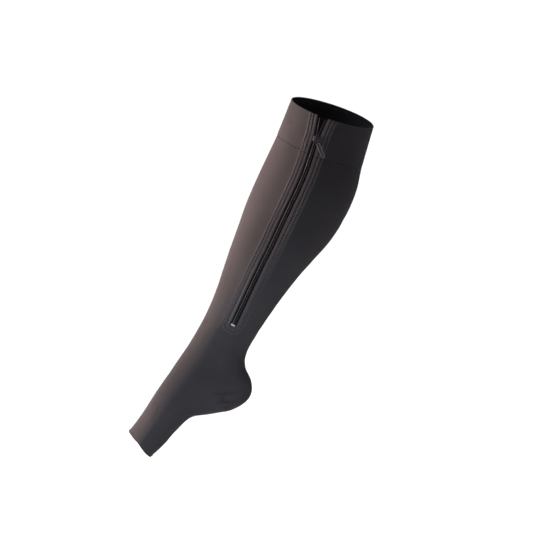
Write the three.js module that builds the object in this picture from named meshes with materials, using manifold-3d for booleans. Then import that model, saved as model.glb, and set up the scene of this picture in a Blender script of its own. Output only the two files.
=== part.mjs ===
// Open-toe compression stocking, knee length, with a zip on the inner side of the leg.
// Millimetres. The origin is the centre of the top rim, +Z is up, the toes point to -X and the zip faces -Y.
// The foot hangs with the toes down, so the leg leans back and the foot runs steeply down from the ankle.

import * as THREE from "three";
import { mergeVertices } from "three/addons/utils/BufferGeometryUtils.js";
import Module from "manifold-3d";

const wasm = await Module();
wasm.setup();

// Sections
// Each section is an oval ring round the leg or foot, from its front point (shin or instep) to its back point
// (calf, heel or sole). width is the size from side to side. rake moves the zip side of the ring towards the
// toes, and zip is where the zip crosses the ring, in degrees round from the front point.
const COLUMNS = ["frontX", "frontZ", "backX", "backZ", "width", "rake", "zip"];
const SECTIONS = {
  rim: [-51, 17, 51.5, -17, 103, 3, 76.5],
  underBand: [-69, -28, 38, -66, 106, 2, 78],
  calfTop: [-80.5, -53, 31.5, -97, 110, 1, 78],
  calf: [-92.5, -79, 19.5, -127, 112, 0, 78],
  calfFoot: [-107, -112, 0, -160.5, 108, 0, 79],
  shinTop: [-118.5, -144, -22, -186.5, 98, 0, 81.5],
  shinUpper: [-128.5, -172.5, -41.5, -209, 88, 0, 83.5],
  shinLower: [-138, -201, -59, -232, 78, 0, 85],
  shinFoot: [-148, -231, -76.5, -257, 69, 0, 86.5],
  ankleTop: [-160, -259.5, -93.5, -283, 63, 0, 89],
  ankle: [-174, -285.5, -107.5, -308.5, 63, 0, 90],
  heelTop: [-186.5, -305.5, -110, -328, 65, 0, 90],
  heelBack: [-197.5, -322, -102, -351, 66, 0, 90],
  heel: [-207.5, -337, -105.5, -369.5, 65, 0, 90],
  heelSole: [-216.5, -350, -124.5, -383, 66, -1, 90],
  instep: [-225, -363, -151.5, -388.5, 69, -2, 90],
  arch: [-233.5, -376.5, -178, -393, 74, -3, 90],
  ballBack: [-242, -390, -198.5, -411, 80, -4, 90],
  ball: [-250.5, -402.5, -214.5, -429, 83, -5, 90],
  toeEdge: [-260, -415, -230.5, -444, 85, -6, 90],
};
const SECTION_NAMES = Object.keys(SECTIONS);
const at = (name) => SECTION_NAMES.indexOf(name);
const LEG_ROUNDNESS = 2.03; // superellipse power of the rings on the leg
const FOOT_ROUNDNESS = 2.25; // the same on the foot, a little boxier
const LEG_EGG = 0.04; // how much wider the back half of a ring is than its front half
const FOOT_EGG = 0.11;

// Cloth
const KNIT_THICKNESS = 1.2;
const BAND_THICKNESS = 1.5;
const BAND_STANDS_OUT = 0.3; // of the band over the leg's face
const SEAM_GAP = 0.3;
const ROUND_STEPS = 40; // facets round the cloth outside the slit
const LEG_ENDS = at("ankleTop") + 0.5; // the knit tube's lower stretch, with the heel, starts here

// Zip
const SLIT_HALF_WIDTH = 4;
const SLIT_BOTTOM = at("shinFoot") + 0.88;
const SLIDER_AT = 0.55; // between the rim and the section under the band
const SLIDER_LENGTH = 8.4;
const OPEN_AT_RIM = 3; // how far each side stands off the closed line at the rim
const OPEN_CURVE = 1.25;
const COIL_WIDTH = 2.3;
const COIL_GAP = 0.3; // between the two coils where the zip is closed
const COIL_FACE = -0.2; // depth of the coil's face under the cloth's face
const COIL_FOOT = 1.25;
const TAPE_FACE = 1.6;
const TAPE_THICKNESS = 0.8;
const TAPE_INNER = 0.45; // from the zip's centre line
const TAPE_OUTER = 12;
const TAPE_BELOW_SLIT = 8;
const GUARD_FACE = TAPE_FACE + TAPE_THICKNESS + 0.3;
const GUARD_THICKNESS = 1;
const GUARD_HALF_WIDTH = 15;
const GUARD_BELOW_SLIT = 5;
const BELOW_RIM = 2; // tape and guard end this far under the rim

// Zip hardware, heights over the cloth's face
const STOP_SIZE = { across: 5.7, along: 2.2, foot: -1.25, top: 0.6 };
const STOP_ABOVE_SLIT_END = 0.5;
const COIL_TO_STOP = 0.35;
const PLATE = { foot: 0.5, top: 1.7, halfWidth: 3.65, tailHalfWidth: 2.9, shoulder: 1.6 };
const FLANGE = { inner: 2.8, foot: -1.2 };
const BRIDGE = { halfLength: 2.9, post: 1, halfThickness: 0.45, sunk: 0.2, hollowTop: 3.7, top: 4.5 };
const RING_HEIGHT = 3;
const RING = { wire: 0.4, halfWidth: 3.05, length: 5.6, squareness: 6 };
const RING_SWIVEL = 42; // degrees from straight down the zip, towards the calf
const TAB = { eyeHole: 0.65, eyeOuter: 1, halfThickness: 0.45, width: 4.4, length: 20 };
const TAB_DROOP = 6; // degrees, from the ring's plane towards the cloth

const COLOURS = {
  knit: { color: 0x4a4345, roughness: 0.85, metalness: 0 },
  band: { color: 0x4f4748, roughness: 0.85, metalness: 0 },
  tape: { color: 0x131215, roughness: 0.8, metalness: 0 },
  coil: { color: 0x1c1b1f, roughness: 0.45, metalness: 0 },
  slider: { color: 0x232226, roughness: 0.35, metalness: 0.8 },
  stop: { color: 0xc9c7c6, roughness: 0.35, metalness: 0.9 },
};

// The cloth's face

// A smooth curve through a column's values, at a place counted in sections from the rim.
function columnAt(column, place) {
  const values = SECTION_NAMES.map((name) => SECTIONS[name][COLUMNS.indexOf(column)]);
  const last = values.length - 1;
  const i = Math.min(Math.max(Math.floor(place), 0), last - 1);
  const f = place - i;
  const b = values[i];
  const c = values[i + 1];
  const a = i > 0 ? values[i - 1] : 2 * b - c;
  const d = i + 2 <= last ? values[i + 2] : 2 * c - b;
  return 0.5 * (2 * b + (c - a) * f + (2 * a - 5 * b + 4 * c - d) * f ** 2 + (3 * b - a - 3 * c + d) * f ** 3);
}

const signedPower = (value, power) => Math.sign(value) * Math.abs(value) ** power;

// A point of the cloth's outer face. angle runs from the front point over the zip side to the back.
function facePoint(place, angle) {
  const front = new THREE.Vector3(columnAt("frontX", place), 0, columnAt("frontZ", place));
  const back = new THREE.Vector3(columnAt("backX", place), 0, columnAt("backZ", place));
  const onFoot = THREE.MathUtils.smoothstep(place, at("ankle"), at("heelSole"));
  const power = 2 / THREE.MathUtils.lerp(LEG_ROUNDNESS, FOOT_ROUNDNESS, onFoot);
  const egg = THREE.MathUtils.lerp(LEG_EGG, FOOT_EGG, onFoot);
  const forward = signedPower(Math.cos(angle), power);
  const sideways = signedPower(Math.sin(angle), power);
  const middle = front.clone().add(back).multiplyScalar(0.5);
  const halfDepth = front.clone().sub(back).multiplyScalar(0.5);
  const toToes = new THREE.Vector3(halfDepth.z, 0, -halfDepth.x).normalize();
  if (toToes.z > 0) toToes.negate();
  const point = middle.addScaledVector(halfDepth, forward);
  point.addScaledVector(toToes, columnAt("rake", place) * sideways);
  point.y = -0.5 * columnAt("width", place) * sideways * (1 - egg * forward);
  return point;
}

// The face's own directions: down the leg, round it, and out of it.
function faceFrame(place, angle) {
  const small = 1e-3;
  const down = facePoint(place + small, angle).sub(facePoint(place - small, angle)).divideScalar(2 * small);
  const round = facePoint(place, angle + small).sub(facePoint(place, angle - small)).divideScalar(2 * small);
  const out = down.clone().cross(round).normalize();
  return { point: facePoint(place, angle), down, round, out };
}

function underFace(place, angle, depth) {
  const { point, out } = faceFrame(place, angle);
  return point.addScaledVector(out, -depth);
}

const zipAngle = (place) => THREE.MathUtils.degToRad(columnAt("zip", place));

// The angle of a line that runs beside the zip's centre line, positive towards the calf.
function besideZip(place, offset) {
  const { round } = faceFrame(place, zipAngle(place));
  return zipAngle(place) + offset / round.length();
}

// How many sections a length down the zip is.
function sectionsFor(place, length) {
  return length / faceFrame(place, zipAngle(place)).down.length();
}

const sliderTop = SLIDER_AT - sectionsFor(SLIDER_AT, SLIDER_LENGTH / 2);
const sliderFoot = SLIDER_AT + sectionsFor(SLIDER_AT, SLIDER_LENGTH / 2);

// How far each side of the zip stands off the closed line.
function openBy(place) {
  return OPEN_AT_RIM * Math.max(0, (sliderTop - place) / sliderTop) ** OPEN_CURVE;
}

// Meshes

function meshOf(name, geometry, look) {
  const mesh = new THREE.Mesh(geometry, new THREE.MeshStandardMaterial(COLOURS[look]));
  mesh.name = name;
  return mesh;
}

// A closed wall on a grid. pointAt(row, column, side) gives its corners, side 0 the outer face and 1 the inner
// one. Only the cells that keep(row, column) names are made, and wraps joins the last column to the first.
function wallGeometry(rows, columns, pointAt, { wraps = false, keep = () => true } = {}) {
  const across = wraps ? columns : columns + 1;
  const corner = (row, column, side) => (row * across + (column % across)) * 2 + side;
  const positions = [];
  for (let row = 0; row <= rows; row++) {
    for (let column = 0; column < across; column++) {
      positions.push(...pointAt(row, column, 0).toArray(), ...pointAt(row, column, 1).toArray());
    }
  }
  const kept = (row, column) => {
    if (row < 0 || row >= rows) return false;
    if (!wraps && (column < 0 || column >= columns)) return false;
    return keep(row, (column + columns) % columns);
  };
  const faces = [];
  const quad = (a, b, c, d) => faces.push(a, b, c, a, c, d);
  for (let row = 0; row < rows; row++) {
    for (let column = 0; column < columns; column++) {
      if (!kept(row, column)) continue;
      const ring = [[row, column], [row + 1, column], [row + 1, column + 1], [row, column + 1]];
      const beyond = [[row, column - 1], [row + 1, column], [row, column + 1], [row - 1, column]];
      const outer = ring.map(([r, c]) => corner(r, c, 0));
      const inner = ring.map(([r, c]) => corner(r, c, 1));
      quad(...outer);
      quad(inner[3], inner[2], inner[1], inner[0]);
      beyond.forEach(([r, c], i) => {
        const next = (i + 1) % 4;
        if (!kept(r, c)) quad(outer[next], outer[i], inner[i], inner[next]);
      });
    }
  }
  return closedGeometry(new Float32Array(positions), faces);
}

// Drops the points that no face uses and joins the ones that meet.
function closedGeometry(positions, faces) {
  const geometry = new THREE.BufferGeometry();
  geometry.setAttribute("position", new THREE.BufferAttribute(positions, 3));
  geometry.setIndex(faces);
  const bare = geometry.toNonIndexed();
  const merged = mergeVertices(bare, 1e-4);
  merged.computeVertexNormals();
  return merged;
}

// Equal steps from one place to another.
function placesFrom(start, end, steps) {
  return Array.from({ length: steps + 1 }, (_, i) => start + ((end - start) * i) / steps);
}

// The slit's corners as angles: round the cloth from its calf edge to its shin edge, then across the slit.
const SLIT_STEPS = 2;
function clothAngle(place, column) {
  const half = SLIT_HALF_WIDTH + openBy(place);
  const calfEdge = besideZip(place, half);
  const shinEdge = besideZip(place, -half);
  if (column <= ROUND_STEPS) {
    return calfEdge + ((shinEdge + 2 * Math.PI - calfEdge) * column) / ROUND_STEPS;
  }
  return shinEdge + ((calfEdge - shinEdge) * (column - ROUND_STEPS)) / SLIT_STEPS;
}

const bandFoot = at("underBand") - sectionsFor(at("underBand") - 0.01, SEAM_GAP / 2);
const legTop = at("underBand") + sectionsFor(at("underBand") + 0.01, SEAM_GAP / 2);
const openPlaces = placesFrom(0, sliderTop, 4);
const bandPlaces = [...openPlaces, sliderFoot, (sliderFoot + bandFoot) / 2, bandFoot];
const slitPlaces = placesFrom(legTop, SLIT_BOTTOM, 16);
const legFoot = LEG_ENDS - sectionsFor(LEG_ENDS, SEAM_GAP / 2);
const footTop = LEG_ENDS + sectionsFor(LEG_ENDS, SEAM_GAP / 2);
const legPlaces = [...slitPlaces, ...placesFrom(SLIT_BOTTOM, legFoot, 2).slice(1)];
const footPlaces = placesFrom(footTop, at("toeEdge"), 25);

function topBand() {
  const depths = [-BAND_STANDS_OUT, BAND_THICKNESS - BAND_STANDS_OUT];
  const pointAt = (row, column, side) => {
    const place = bandPlaces[row];
    return underFace(place, clothAngle(place, column), depths[side]);
  };
  return meshOf("top_band", wallGeometry(bandPlaces.length - 1, ROUND_STEPS, pointAt), "band");
}

// A stretch of the knit tube. It is closed all round under the row where the slit ends.
function knitTube(name, places, slitRows) {
  const depths = [0, KNIT_THICKNESS];
  const pointAt = (row, column, side) => {
    const place = places[row];
    return underFace(place, clothAngle(place, column), depths[side]);
  };
  const keep = (row, column) => row >= slitRows || column < ROUND_STEPS;
  const options = { wraps: true, keep };
  return meshOf(name, wallGeometry(places.length - 1, ROUND_STEPS + SLIT_STEPS, pointAt, options), "knit");
}

const leg = () => knitTube("leg", legPlaces, slitPlaces.length - 1);
const foot = () => knitTube("foot", footPlaces, 0);

// A strip that follows the zip, between two offsets from its centre line and two depths.
// follows is 1 or -1 for a side that opens with the zip, and 0 for one that doesn't.
function zipStrip(name, look, { start, end, offsets, face, foot, follows }) {
  const between = [...bandPlaces.slice(0, -1), ...slitPlaces].filter((p) => p > start && p < end);
  const places = [start, ...between, end];
  const pointAt = (row, column, side) => {
    const place = places[row];
    const offset = offsets[column] + follows * openBy(place);
    return underFace(place, besideZip(place, offset), side === 0 ? face : foot);
  };
  return meshOf(name, wallGeometry(places.length - 1, offsets.length - 1, pointAt), look);
}

const underRim = sectionsFor(0.02, BELOW_RIM);
const belowSlit = (length) => SLIT_BOTTOM + sectionsFor(SLIT_BOTTOM, length);
const stopMiddle = belowSlit(-STOP_ABOVE_SLIT_END - STOP_SIZE.along / 2);
const coilEnd = belowSlit(-STOP_ABOVE_SLIT_END - STOP_SIZE.along - COIL_TO_STOP);
const TAPE_STEPS = 3;

const SIDES = { front: -1, back: 1 };

function tape(sideName) {
  const side = SIDES[sideName];
  const reach = placesFrom(TAPE_INNER, TAPE_OUTER, TAPE_STEPS).map((offset) => side * offset);
  return zipStrip("zip_tape_" + sideName, "tape", {
    start: underRim,
    end: belowSlit(TAPE_BELOW_SLIT),
    offsets: reach.sort((a, b) => a - b),
    face: TAPE_FACE,
    foot: TAPE_FACE + TAPE_THICKNESS,
    follows: side,
  });
}

function coil(sideName) {
  const side = SIDES[sideName];
  const reach = [COIL_GAP / 2, COIL_GAP / 2 + COIL_WIDTH].map((offset) => side * offset);
  return zipStrip("zip_coil_" + sideName, "coil", {
    start: underRim,
    end: coilEnd,
    offsets: reach.sort((a, b) => a - b),
    face: COIL_FACE,
    foot: COIL_FOOT,
    follows: side,
  });
}

function guard() {
  return zipStrip("zip_guard", "tape", {
    start: underRim,
    end: belowSlit(GUARD_BELOW_SLIT),
    offsets: placesFrom(-GUARD_HALF_WIDTH, GUARD_HALF_WIDTH, 6),
    face: GUARD_FACE,
    foot: GUARD_FACE + GUARD_THICKNESS,
    follows: 0,
  });
}

// Hardware

// A group on the zip's centre line: x across towards the calf, y up the zip, z out of the cloth.
function onZip(place) {
  const { point, down, round, out } = faceFrame(place, zipAngle(place));
  const up = down.clone().negate().normalize();
  const across = up.clone().cross(out).normalize();
  if (across.dot(round) < 0) throw new Error("the zip's frame is turned round");
  const group = new THREE.Group();
  group.position.copy(point);
  group.quaternion.setFromRotationMatrix(new THREE.Matrix4().makeBasis(across, up, out));
  return group;
}

function solidOf(geometry) {
  const bare = geometry.clone();
  bare.deleteAttribute("normal");
  bare.deleteAttribute("uv");
  const merged = mergeVertices(bare, 1e-4);
  return new wasm.Manifold(
    new wasm.Mesh({
      numProp: 3,
      vertProperties: merged.attributes.position.array,
      triVerts: new Uint32Array(merged.index.array),
    }),
  );
}

function joined(geometries) {
  const [first, ...others] = geometries.map(solidOf);
  const whole = others.reduce((sum, next) => sum.add(next), first).getMesh();
  const geometry = new THREE.BufferGeometry();
  geometry.setAttribute("position", new THREE.BufferAttribute(whole.vertProperties, 3));
  geometry.setIndex(new THREE.BufferAttribute(whole.triVerts, 1));
  geometry.computeVertexNormals();
  return geometry;
}

function boxBetween(low, high) {
  const size = high.map((value, i) => value - low[i]);
  const middle = high.map((value, i) => (value + low[i]) / 2);
  return new THREE.BoxGeometry(...size).translate(...middle);
}

// The plate over the coils, two flanges beside them, and the bridge that holds the ring.
function slider() {
  const half = SLIDER_LENGTH / 2;
  const plan = new THREE.Shape();
  plan.moveTo(-PLATE.tailHalfWidth, -half);
  plan.lineTo(PLATE.tailHalfWidth, -half);
  plan.lineTo(PLATE.halfWidth, -half + PLATE.shoulder);
  plan.lineTo(PLATE.halfWidth, half - PLATE.shoulder);
  plan.quadraticCurveTo(PLATE.halfWidth, half, PLATE.tailHalfWidth, half);
  plan.lineTo(-PLATE.tailHalfWidth, half);
  plan.quadraticCurveTo(-PLATE.halfWidth, half, -PLATE.halfWidth, half - PLATE.shoulder);
  plan.lineTo(-PLATE.halfWidth, -half + PLATE.shoulder);
  plan.closePath();
  const thickness = PLATE.top - PLATE.foot;
  const plate = new THREE.ExtrudeGeometry(plan, { depth: thickness, bevelEnabled: false, curveSegments: 4 });
  plate.translate(0, 0, PLATE.foot);
  const flangeEnd = half - PLATE.shoulder;
  const flangeTop = (PLATE.foot + PLATE.top) / 2;
  const flanges = [-1, 1].map((side) => {
    const reach = [side * FLANGE.inner, side * PLATE.halfWidth].sort((a, b) => a - b);
    return boxBetween([reach[0], -flangeEnd, FLANGE.foot], [reach[1], flangeEnd, flangeTop]);
  });
  const { halfLength, post, halfThickness, sunk, hollowTop, top } = BRIDGE;
  const foot = PLATE.top - sunk;
  const posts = [-1, 1].map((side) => {
    const reach = [side * (halfLength - post), side * halfLength].sort((a, b) => a - b);
    return boxBetween([-halfThickness, reach[0], foot], [halfThickness, reach[1], top]);
  });
  const bar = boxBetween([-halfThickness, -halfLength, hollowTop], [halfThickness, halfLength, top]);
  return meshOf("zip_slider", joined([plate, ...flanges, ...posts, bar]), "slider");
}

// A wire loop with nearly straight ends, its first end on the group's origin.
class RingLoop extends THREE.Curve {
  getPoint(t) {
    const angle = 2 * Math.PI * t;
    const power = 2 / RING.squareness;
    const x = RING.halfWidth * signedPower(Math.cos(angle), power);
    const y = (RING.length / 2) * (signedPower(Math.sin(angle), power) - 1);
    return new THREE.Vector3(x, y, 0);
  }
}

function ring() {
  return meshOf("pull_ring", new THREE.TubeGeometry(new RingLoop(), 32, RING.wire, 8, true), "slider");
}

// A plate with a rolled eye, the eye's axis on the group's origin and along x, the plate down y.
function tab() {
  const edge = Math.asin(TAB.halfThickness / TAB.eyeOuter);
  const side = new THREE.Shape();
  side.absarc(0, 0, TAB.eyeOuter, edge, 2 * Math.PI - edge, false);
  side.lineTo(TAB.length, -TAB.halfThickness);
  side.lineTo(TAB.length, TAB.halfThickness);
  side.closePath();
  side.holes.push(new THREE.Path().absarc(0, 0, TAB.eyeHole, 0, 2 * Math.PI, true));
  const geometry = new THREE.ExtrudeGeometry(side, { depth: TAB.width, bevelEnabled: false, curveSegments: 10 });
  const away = new THREE.Vector3(0, -1, 0);
  const out = new THREE.Vector3(0, 0, 1);
  const across = away.clone().cross(out);
  geometry.translate(0, 0, -TAB.width / 2);
  geometry.applyMatrix4(new THREE.Matrix4().makeBasis(away, out, across));
  return meshOf("pull_tab", geometry, "slider");
}

function bottomStop() {
  const { across, along, foot, top } = STOP_SIZE;
  const box = boxBetween([-across / 2, -along / 2, foot], [across / 2, along / 2, top]);
  return meshOf("zip_stop", box, "stop");
}

function hardware() {
  const onSlider = onZip(SLIDER_AT);
  const swivel = new THREE.Group();
  swivel.position.z = RING_HEIGHT;
  swivel.rotation.z = THREE.MathUtils.degToRad(RING_SWIVEL);
  const hinge = new THREE.Group();
  hinge.position.y = -RING.length;
  hinge.rotation.x = THREE.MathUtils.degToRad(TAB_DROOP);
  hinge.add(tab());
  swivel.add(ring(), hinge);
  onSlider.add(slider(), swivel);
  const onStop = onZip(stopMiddle);
  onStop.add(bottomStop());
  return [onSlider, onStop];
}

const stocking = new THREE.Group();
stocking.add(leg(), foot(), topBand(), tape("front"), tape("back"), coil("front"), coil("back"), guard());
stocking.add(...hardware());

export default stocking;
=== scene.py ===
# The looks of an open-toe compression stocking with a zip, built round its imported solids.
# Lengths named here are in millimetres on the cloth's own form, and meshes are made in metres.

import math

import bpy
import numpy as np
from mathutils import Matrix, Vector


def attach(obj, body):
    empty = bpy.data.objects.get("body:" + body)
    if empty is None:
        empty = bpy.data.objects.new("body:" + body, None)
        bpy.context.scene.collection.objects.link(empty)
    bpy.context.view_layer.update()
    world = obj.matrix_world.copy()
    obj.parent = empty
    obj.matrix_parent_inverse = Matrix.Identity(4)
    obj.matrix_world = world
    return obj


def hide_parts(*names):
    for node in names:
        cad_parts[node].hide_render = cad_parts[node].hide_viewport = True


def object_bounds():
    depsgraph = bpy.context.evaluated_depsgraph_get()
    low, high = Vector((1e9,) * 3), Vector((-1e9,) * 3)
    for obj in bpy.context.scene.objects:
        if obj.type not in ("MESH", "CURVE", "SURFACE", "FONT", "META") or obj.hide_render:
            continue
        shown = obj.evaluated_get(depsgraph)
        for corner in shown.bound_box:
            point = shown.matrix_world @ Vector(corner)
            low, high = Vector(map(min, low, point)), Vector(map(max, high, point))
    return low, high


MM = 0.001

# Sections of the worn form, from the rim to the toe edge, the same as the solids' own: the front and back
# points of each oval ring, its width, how far its zip side leans to the toes, and the zip's place round it.
COLUMNS = ("frontX", "frontZ", "backX", "backZ", "width", "rake", "zip")
SECTIONS = {
    "rim": (-51, 17, 51.5, -17, 103, 3, 76.5),
    "underBand": (-69, -28, 38, -66, 106, 2, 78),
    "calfTop": (-80.5, -53, 31.5, -97, 110, 1, 78),
    "calf": (-92.5, -79, 19.5, -127, 112, 0, 78),
    "calfFoot": (-107, -112, 0, -160.5, 108, 0, 79),
    "shinTop": (-118.5, -144, -22, -186.5, 98, 0, 81.5),
    "shinUpper": (-128.5, -172.5, -41.5, -209, 88, 0, 83.5),
    "shinLower": (-138, -201, -59, -232, 78, 0, 85),
    "shinFoot": (-148, -231, -76.5, -257, 69, 0, 86.5),
    "ankleTop": (-160, -259.5, -93.5, -283, 63, 0, 89),
    "ankle": (-174, -285.5, -107.5, -308.5, 63, 0, 90),
    "heelTop": (-186.5, -305.5, -110, -328, 65, 0, 90),
    "heelBack": (-197.5, -322, -102, -351, 66, 0, 90),
    "heel": (-207.5, -337, -105.5, -369.5, 65, 0, 90),
    "heelSole": (-216.5, -350, -124.5, -383, 66, -1, 90),
    "instep": (-225, -363, -151.5, -388.5, 69, -2, 90),
    "arch": (-233.5, -376.5, -178, -393, 74, -3, 90),
    "ballBack": (-242, -390, -198.5, -411, 80, -4, 90),
    "ball": (-250.5, -402.5, -214.5, -429, 83, -5, 90),
    "toeEdge": (-260, -415, -230.5, -444, 85, -6, 90),
}
SECTION_NAMES = list(SECTIONS)
LEG_ROUNDNESS = 2.03
FOOT_ROUNDNESS = 2.25
LEG_EGG = 0.04
FOOT_EGG = 0.11

# Cloth
KNIT_THICKNESS = 1.2
BAND_THICKNESS = 1.5
BAND_STANDS_OUT = 0.3
SEAM_GAP = 0.3
THINNEST = 0.04  # half the wall left at a free edge

# Zip
SLIT_HALF = 4.0
SLIDER_AT = 0.55
SLIDER_LENGTH = 8.4
OPEN_AT_RIM = 3.0
OPEN_CURVE = 1.25
COIL_WIDTH = 2.3
COIL_GAP = 0.3
COIL_FACE = -0.2
COIL_FOOT = 1.25
COIL_PITCH = 1.45
COIL_WIRE = 0.33
THREAD_SHARE = 0.5  # where a coil's sewn thread lies, from the zip's middle to the coil's back
THREAD_SUNK = 0.08
THREAD_SIZE = (0.95 * COIL_PITCH, 0.5, 0.26)
COIL_TURN_STEPS = 14
TAPE_FACE = 1.6
TAPE_THICKNESS = 0.8
TAPE_INNER = 0.45
TAPE_OUTER = 12.0
TAPE_BELOW_SLIT = 8.0
GUARD_FACE = TAPE_FACE + TAPE_THICKNESS + 0.3
GUARD_THICKNESS = 1.0
GUARD_HALF = 15.0
GUARD_BELOW_SLIT = 5.0
BELOW_RIM = 2.0
STOP_ACROSS = 5.7
STOP_ALONG = 2.2
STOP_FOOT = -1.25
STOP_TOP = 0.6
STOP_ABOVE_SLIT_END = 0.5
COIL_TO_STOP = 0.35

# Sewing beside the slit: distances from its edge to the two rows on the shin side and on the calf side.
SHIN_ROWS = (4.3, 8.4)
CALF_ROWS = (5.2, 9.4)
LAST_RIDGE = 3.6
HEM_RISE = 0.4
RIDGE_RISE = 0.28
ROW_DEPTH = 0.6
ROW_HALF_WIDTH = 0.6
ROW_FADE = 0.75
HEM_INSIDE = 0.5  # the share of the hem's rise that also shows inside
STITCH_PITCH = 3.2
STITCH_SHARE = 0.62  # of the pitch that a stitch covers
STITCH_WIDTH = 0.7
STITCH_HEIGHT = 0.42
STITCH_LIFT = 0.1
LINK_PITCH = 1.9
LINK_SIZE = (2.1, 0.34, 0.34)
LINK_SLANT = 0.75

# Slider, ring and tab
PLATE_TOP = 1.7
BRIDGE_HALF = 2.9
BRIDGE_POST = 0.95
BRIDGE_HALF_WIDTH = 0.4
BRIDGE_FOOT = PLATE_TOP - 0.2
BRIDGE_HOLLOW = 3.72
BRIDGE_TOP = 4.5
RING_HEIGHT = 3.0
RING_WIRE = 0.4
RING_HALF = 3.05
RING_LENGTH = 5.6
RING_SQUARENESS = 6
RING_SWIVEL = 42
TAB_DROOP = 6
TAB_LENGTH = 20.0
TAB_WIDTH = 4.4
TAB_HALF = 0.45
TAB_EYE = 0.65
TAB_EYE_OUTER = 1.0

# Camera: a long lens, so that the photograph's flat perspective and its look from a little above are kept.
PHOTO_SIDE = 540
ORIGIN_IN_PHOTO = (331.7, 114.5)
CAMERA_ELEVATION = math.radians(12)
CAMERA_DISTANCE = 3000.0
MM_PER_PIXEL = 1.27
SENSOR = 36.0

# Lights, in metres in the part's frame: where each stands, what it is aimed at, its size, its power, its
# spread in degrees and its colour. The key is low on the shin side and a little behind, and lights the foot's
# edge. One fill is for the calf and one for the foot's dark side. The overhead keeps the floor even.
LIGHTS = {
    "key": ((-3.858, 1.48, -0.022), (-0.138, 0, -0.302), (0.9, 0.7), 12, 13, (1.0, 0.76, 0.62)),
    "calf_fill": ((-2.968, -0.21, 0.288), (-0.028, 0, -0.072), (0.3, 0.3), 1.15, 8, (1.0, 0.77, 0.65)),
    "foot_fill": ((-0.6, -1.9, -0.05), (-0.19, 0, -0.37), (0.4, 0.4), 0.6, 10, (0.84, 0.97, 1.0)),
    "overhead": ((0, 0, 5), (0, 0, 0), (24, 24), 2250, 50, (0.98, 0.98, 1.0)),
}
WORLD_COLOUR = (0.93, 0.95, 1.0, 1)
WORLD_STRENGTH = 0.06
FLOOR_BELOW = 0.16
FLOOR_REACH = 14.0


def at(name):
    return SECTION_NAMES.index(name)


SLIT_BOTTOM = at("shinFoot") + 0.88
TOE = at("toeEdge")


# The cloth's face

TABLE = {c: np.array([SECTIONS[n][i] for n in SECTION_NAMES], float) for i, c in enumerate(COLUMNS)}


def column_at(column, place):
    """A smooth curve through a column's values, at a place counted in sections from the rim."""
    values = TABLE[column]
    before = 2 * values[0] - values[1]
    after = 2 * values[-1] - values[-2]
    padded = np.concatenate([[before], values, [after]])
    i = np.clip(np.floor(place).astype(int), 0, len(values) - 2)
    f = place - i
    a, b, c, d = (padded[i + k] for k in range(4))
    return 0.5 * (2 * b + (c - a) * f + (2 * a - 5 * b + 4 * c - d) * f**2 + (3 * b - a - 3 * c + d) * f**3)


def smooth(low, high, value):
    t = np.clip((value - low) / (high - low), 0, 1)
    return t * t * (3 - 2 * t)


def signed_power(value, power):
    return np.sign(value) * np.abs(value) ** power


def face_point(place, angle):
    """A point of the cloth's outer face, in millimetres. angle runs from the front over the zip side."""
    place, angle = np.broadcast_arrays(place, angle)
    front_x, front_z, back_x, back_z, width, rake = (column_at(c, place) for c in COLUMNS[:-1])
    on_foot = smooth(at("ankle"), at("heelSole"), place)
    power = 2 / (LEG_ROUNDNESS + (FOOT_ROUNDNESS - LEG_ROUNDNESS) * on_foot)
    egg = LEG_EGG + (FOOT_EGG - LEG_EGG) * on_foot
    forward = signed_power(np.cos(angle), power)
    sideways = signed_power(np.sin(angle), power)
    half_x, half_z = (front_x - back_x) / 2, (front_z - back_z) / 2
    length = np.hypot(half_x, half_z)
    toes_x, toes_z = half_z / length, -half_x / length
    turn = np.where(toes_z > 0, -1.0, 1.0)
    lean = rake * sideways * turn
    x = (front_x + back_x) / 2 + half_x * forward + toes_x * lean
    z = (front_z + back_z) / 2 + half_z * forward + toes_z * lean
    y = -0.5 * width * sideways * (1 - egg * forward)
    return np.stack([x, y, z], -1)


def unit(vectors):
    return vectors / np.maximum(np.linalg.norm(vectors, axis=-1, keepdims=True), 1e-9)


def face_frame(place, angle):
    """The face's point and its directions: down the leg and round it, per section and radian, and out."""
    small = 1e-3
    down = (face_point(place + small, angle) - face_point(place - small, angle)) / (2 * small)
    around = (face_point(place, angle + small) - face_point(place, angle - small)) / (2 * small)
    return face_point(place, angle), down, around, unit(np.cross(down, around))


def zip_angle(place):
    return np.radians(column_at("zip", place))


def beside_zip(place, offset):
    """The angle of a line beside the zip's centre line, positive towards the calf."""
    _, _, around, _ = face_frame(place, zip_angle(place))
    return zip_angle(place) + offset / np.linalg.norm(around, axis=-1)


def sections_for(place, length):
    _, down, _, _ = face_frame(place, zip_angle(place))
    return length / float(np.linalg.norm(down))


SLIDER_TOP = SLIDER_AT - sections_for(SLIDER_AT, SLIDER_LENGTH / 2)
BAND_FOOT = at("underBand") - sections_for(at("underBand") - 0.01, SEAM_GAP / 2)
LEG_TOP = at("underBand") + sections_for(at("underBand") + 0.01, SEAM_GAP / 2)


def open_by(place):
    """How far each side of the zip stands off the closed line, over the slider."""
    return OPEN_AT_RIM * np.maximum(0, (SLIDER_TOP - place) / SLIDER_TOP) ** OPEN_CURVE


# Length down the zip line, so that rows, stitches and coils can be spaced in millimetres.
_fine = np.linspace(0, TOE, 3001)
_line = face_point(_fine, zip_angle(_fine))
_length = np.concatenate([[0], np.cumsum(np.linalg.norm(np.diff(_line, axis=0), axis=1))])


def length_at(place):
    return np.interp(place, _fine, _length)


def place_at(length):
    return np.interp(length, _length, _fine)


SLIT_END = float(length_at(SLIT_BOTTOM))
COIL_START = BELOW_RIM + 0.4
COIL_END = SLIT_END - STOP_ABOVE_SLIT_END - STOP_ALONG - COIL_TO_STOP


# Meshes


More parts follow.
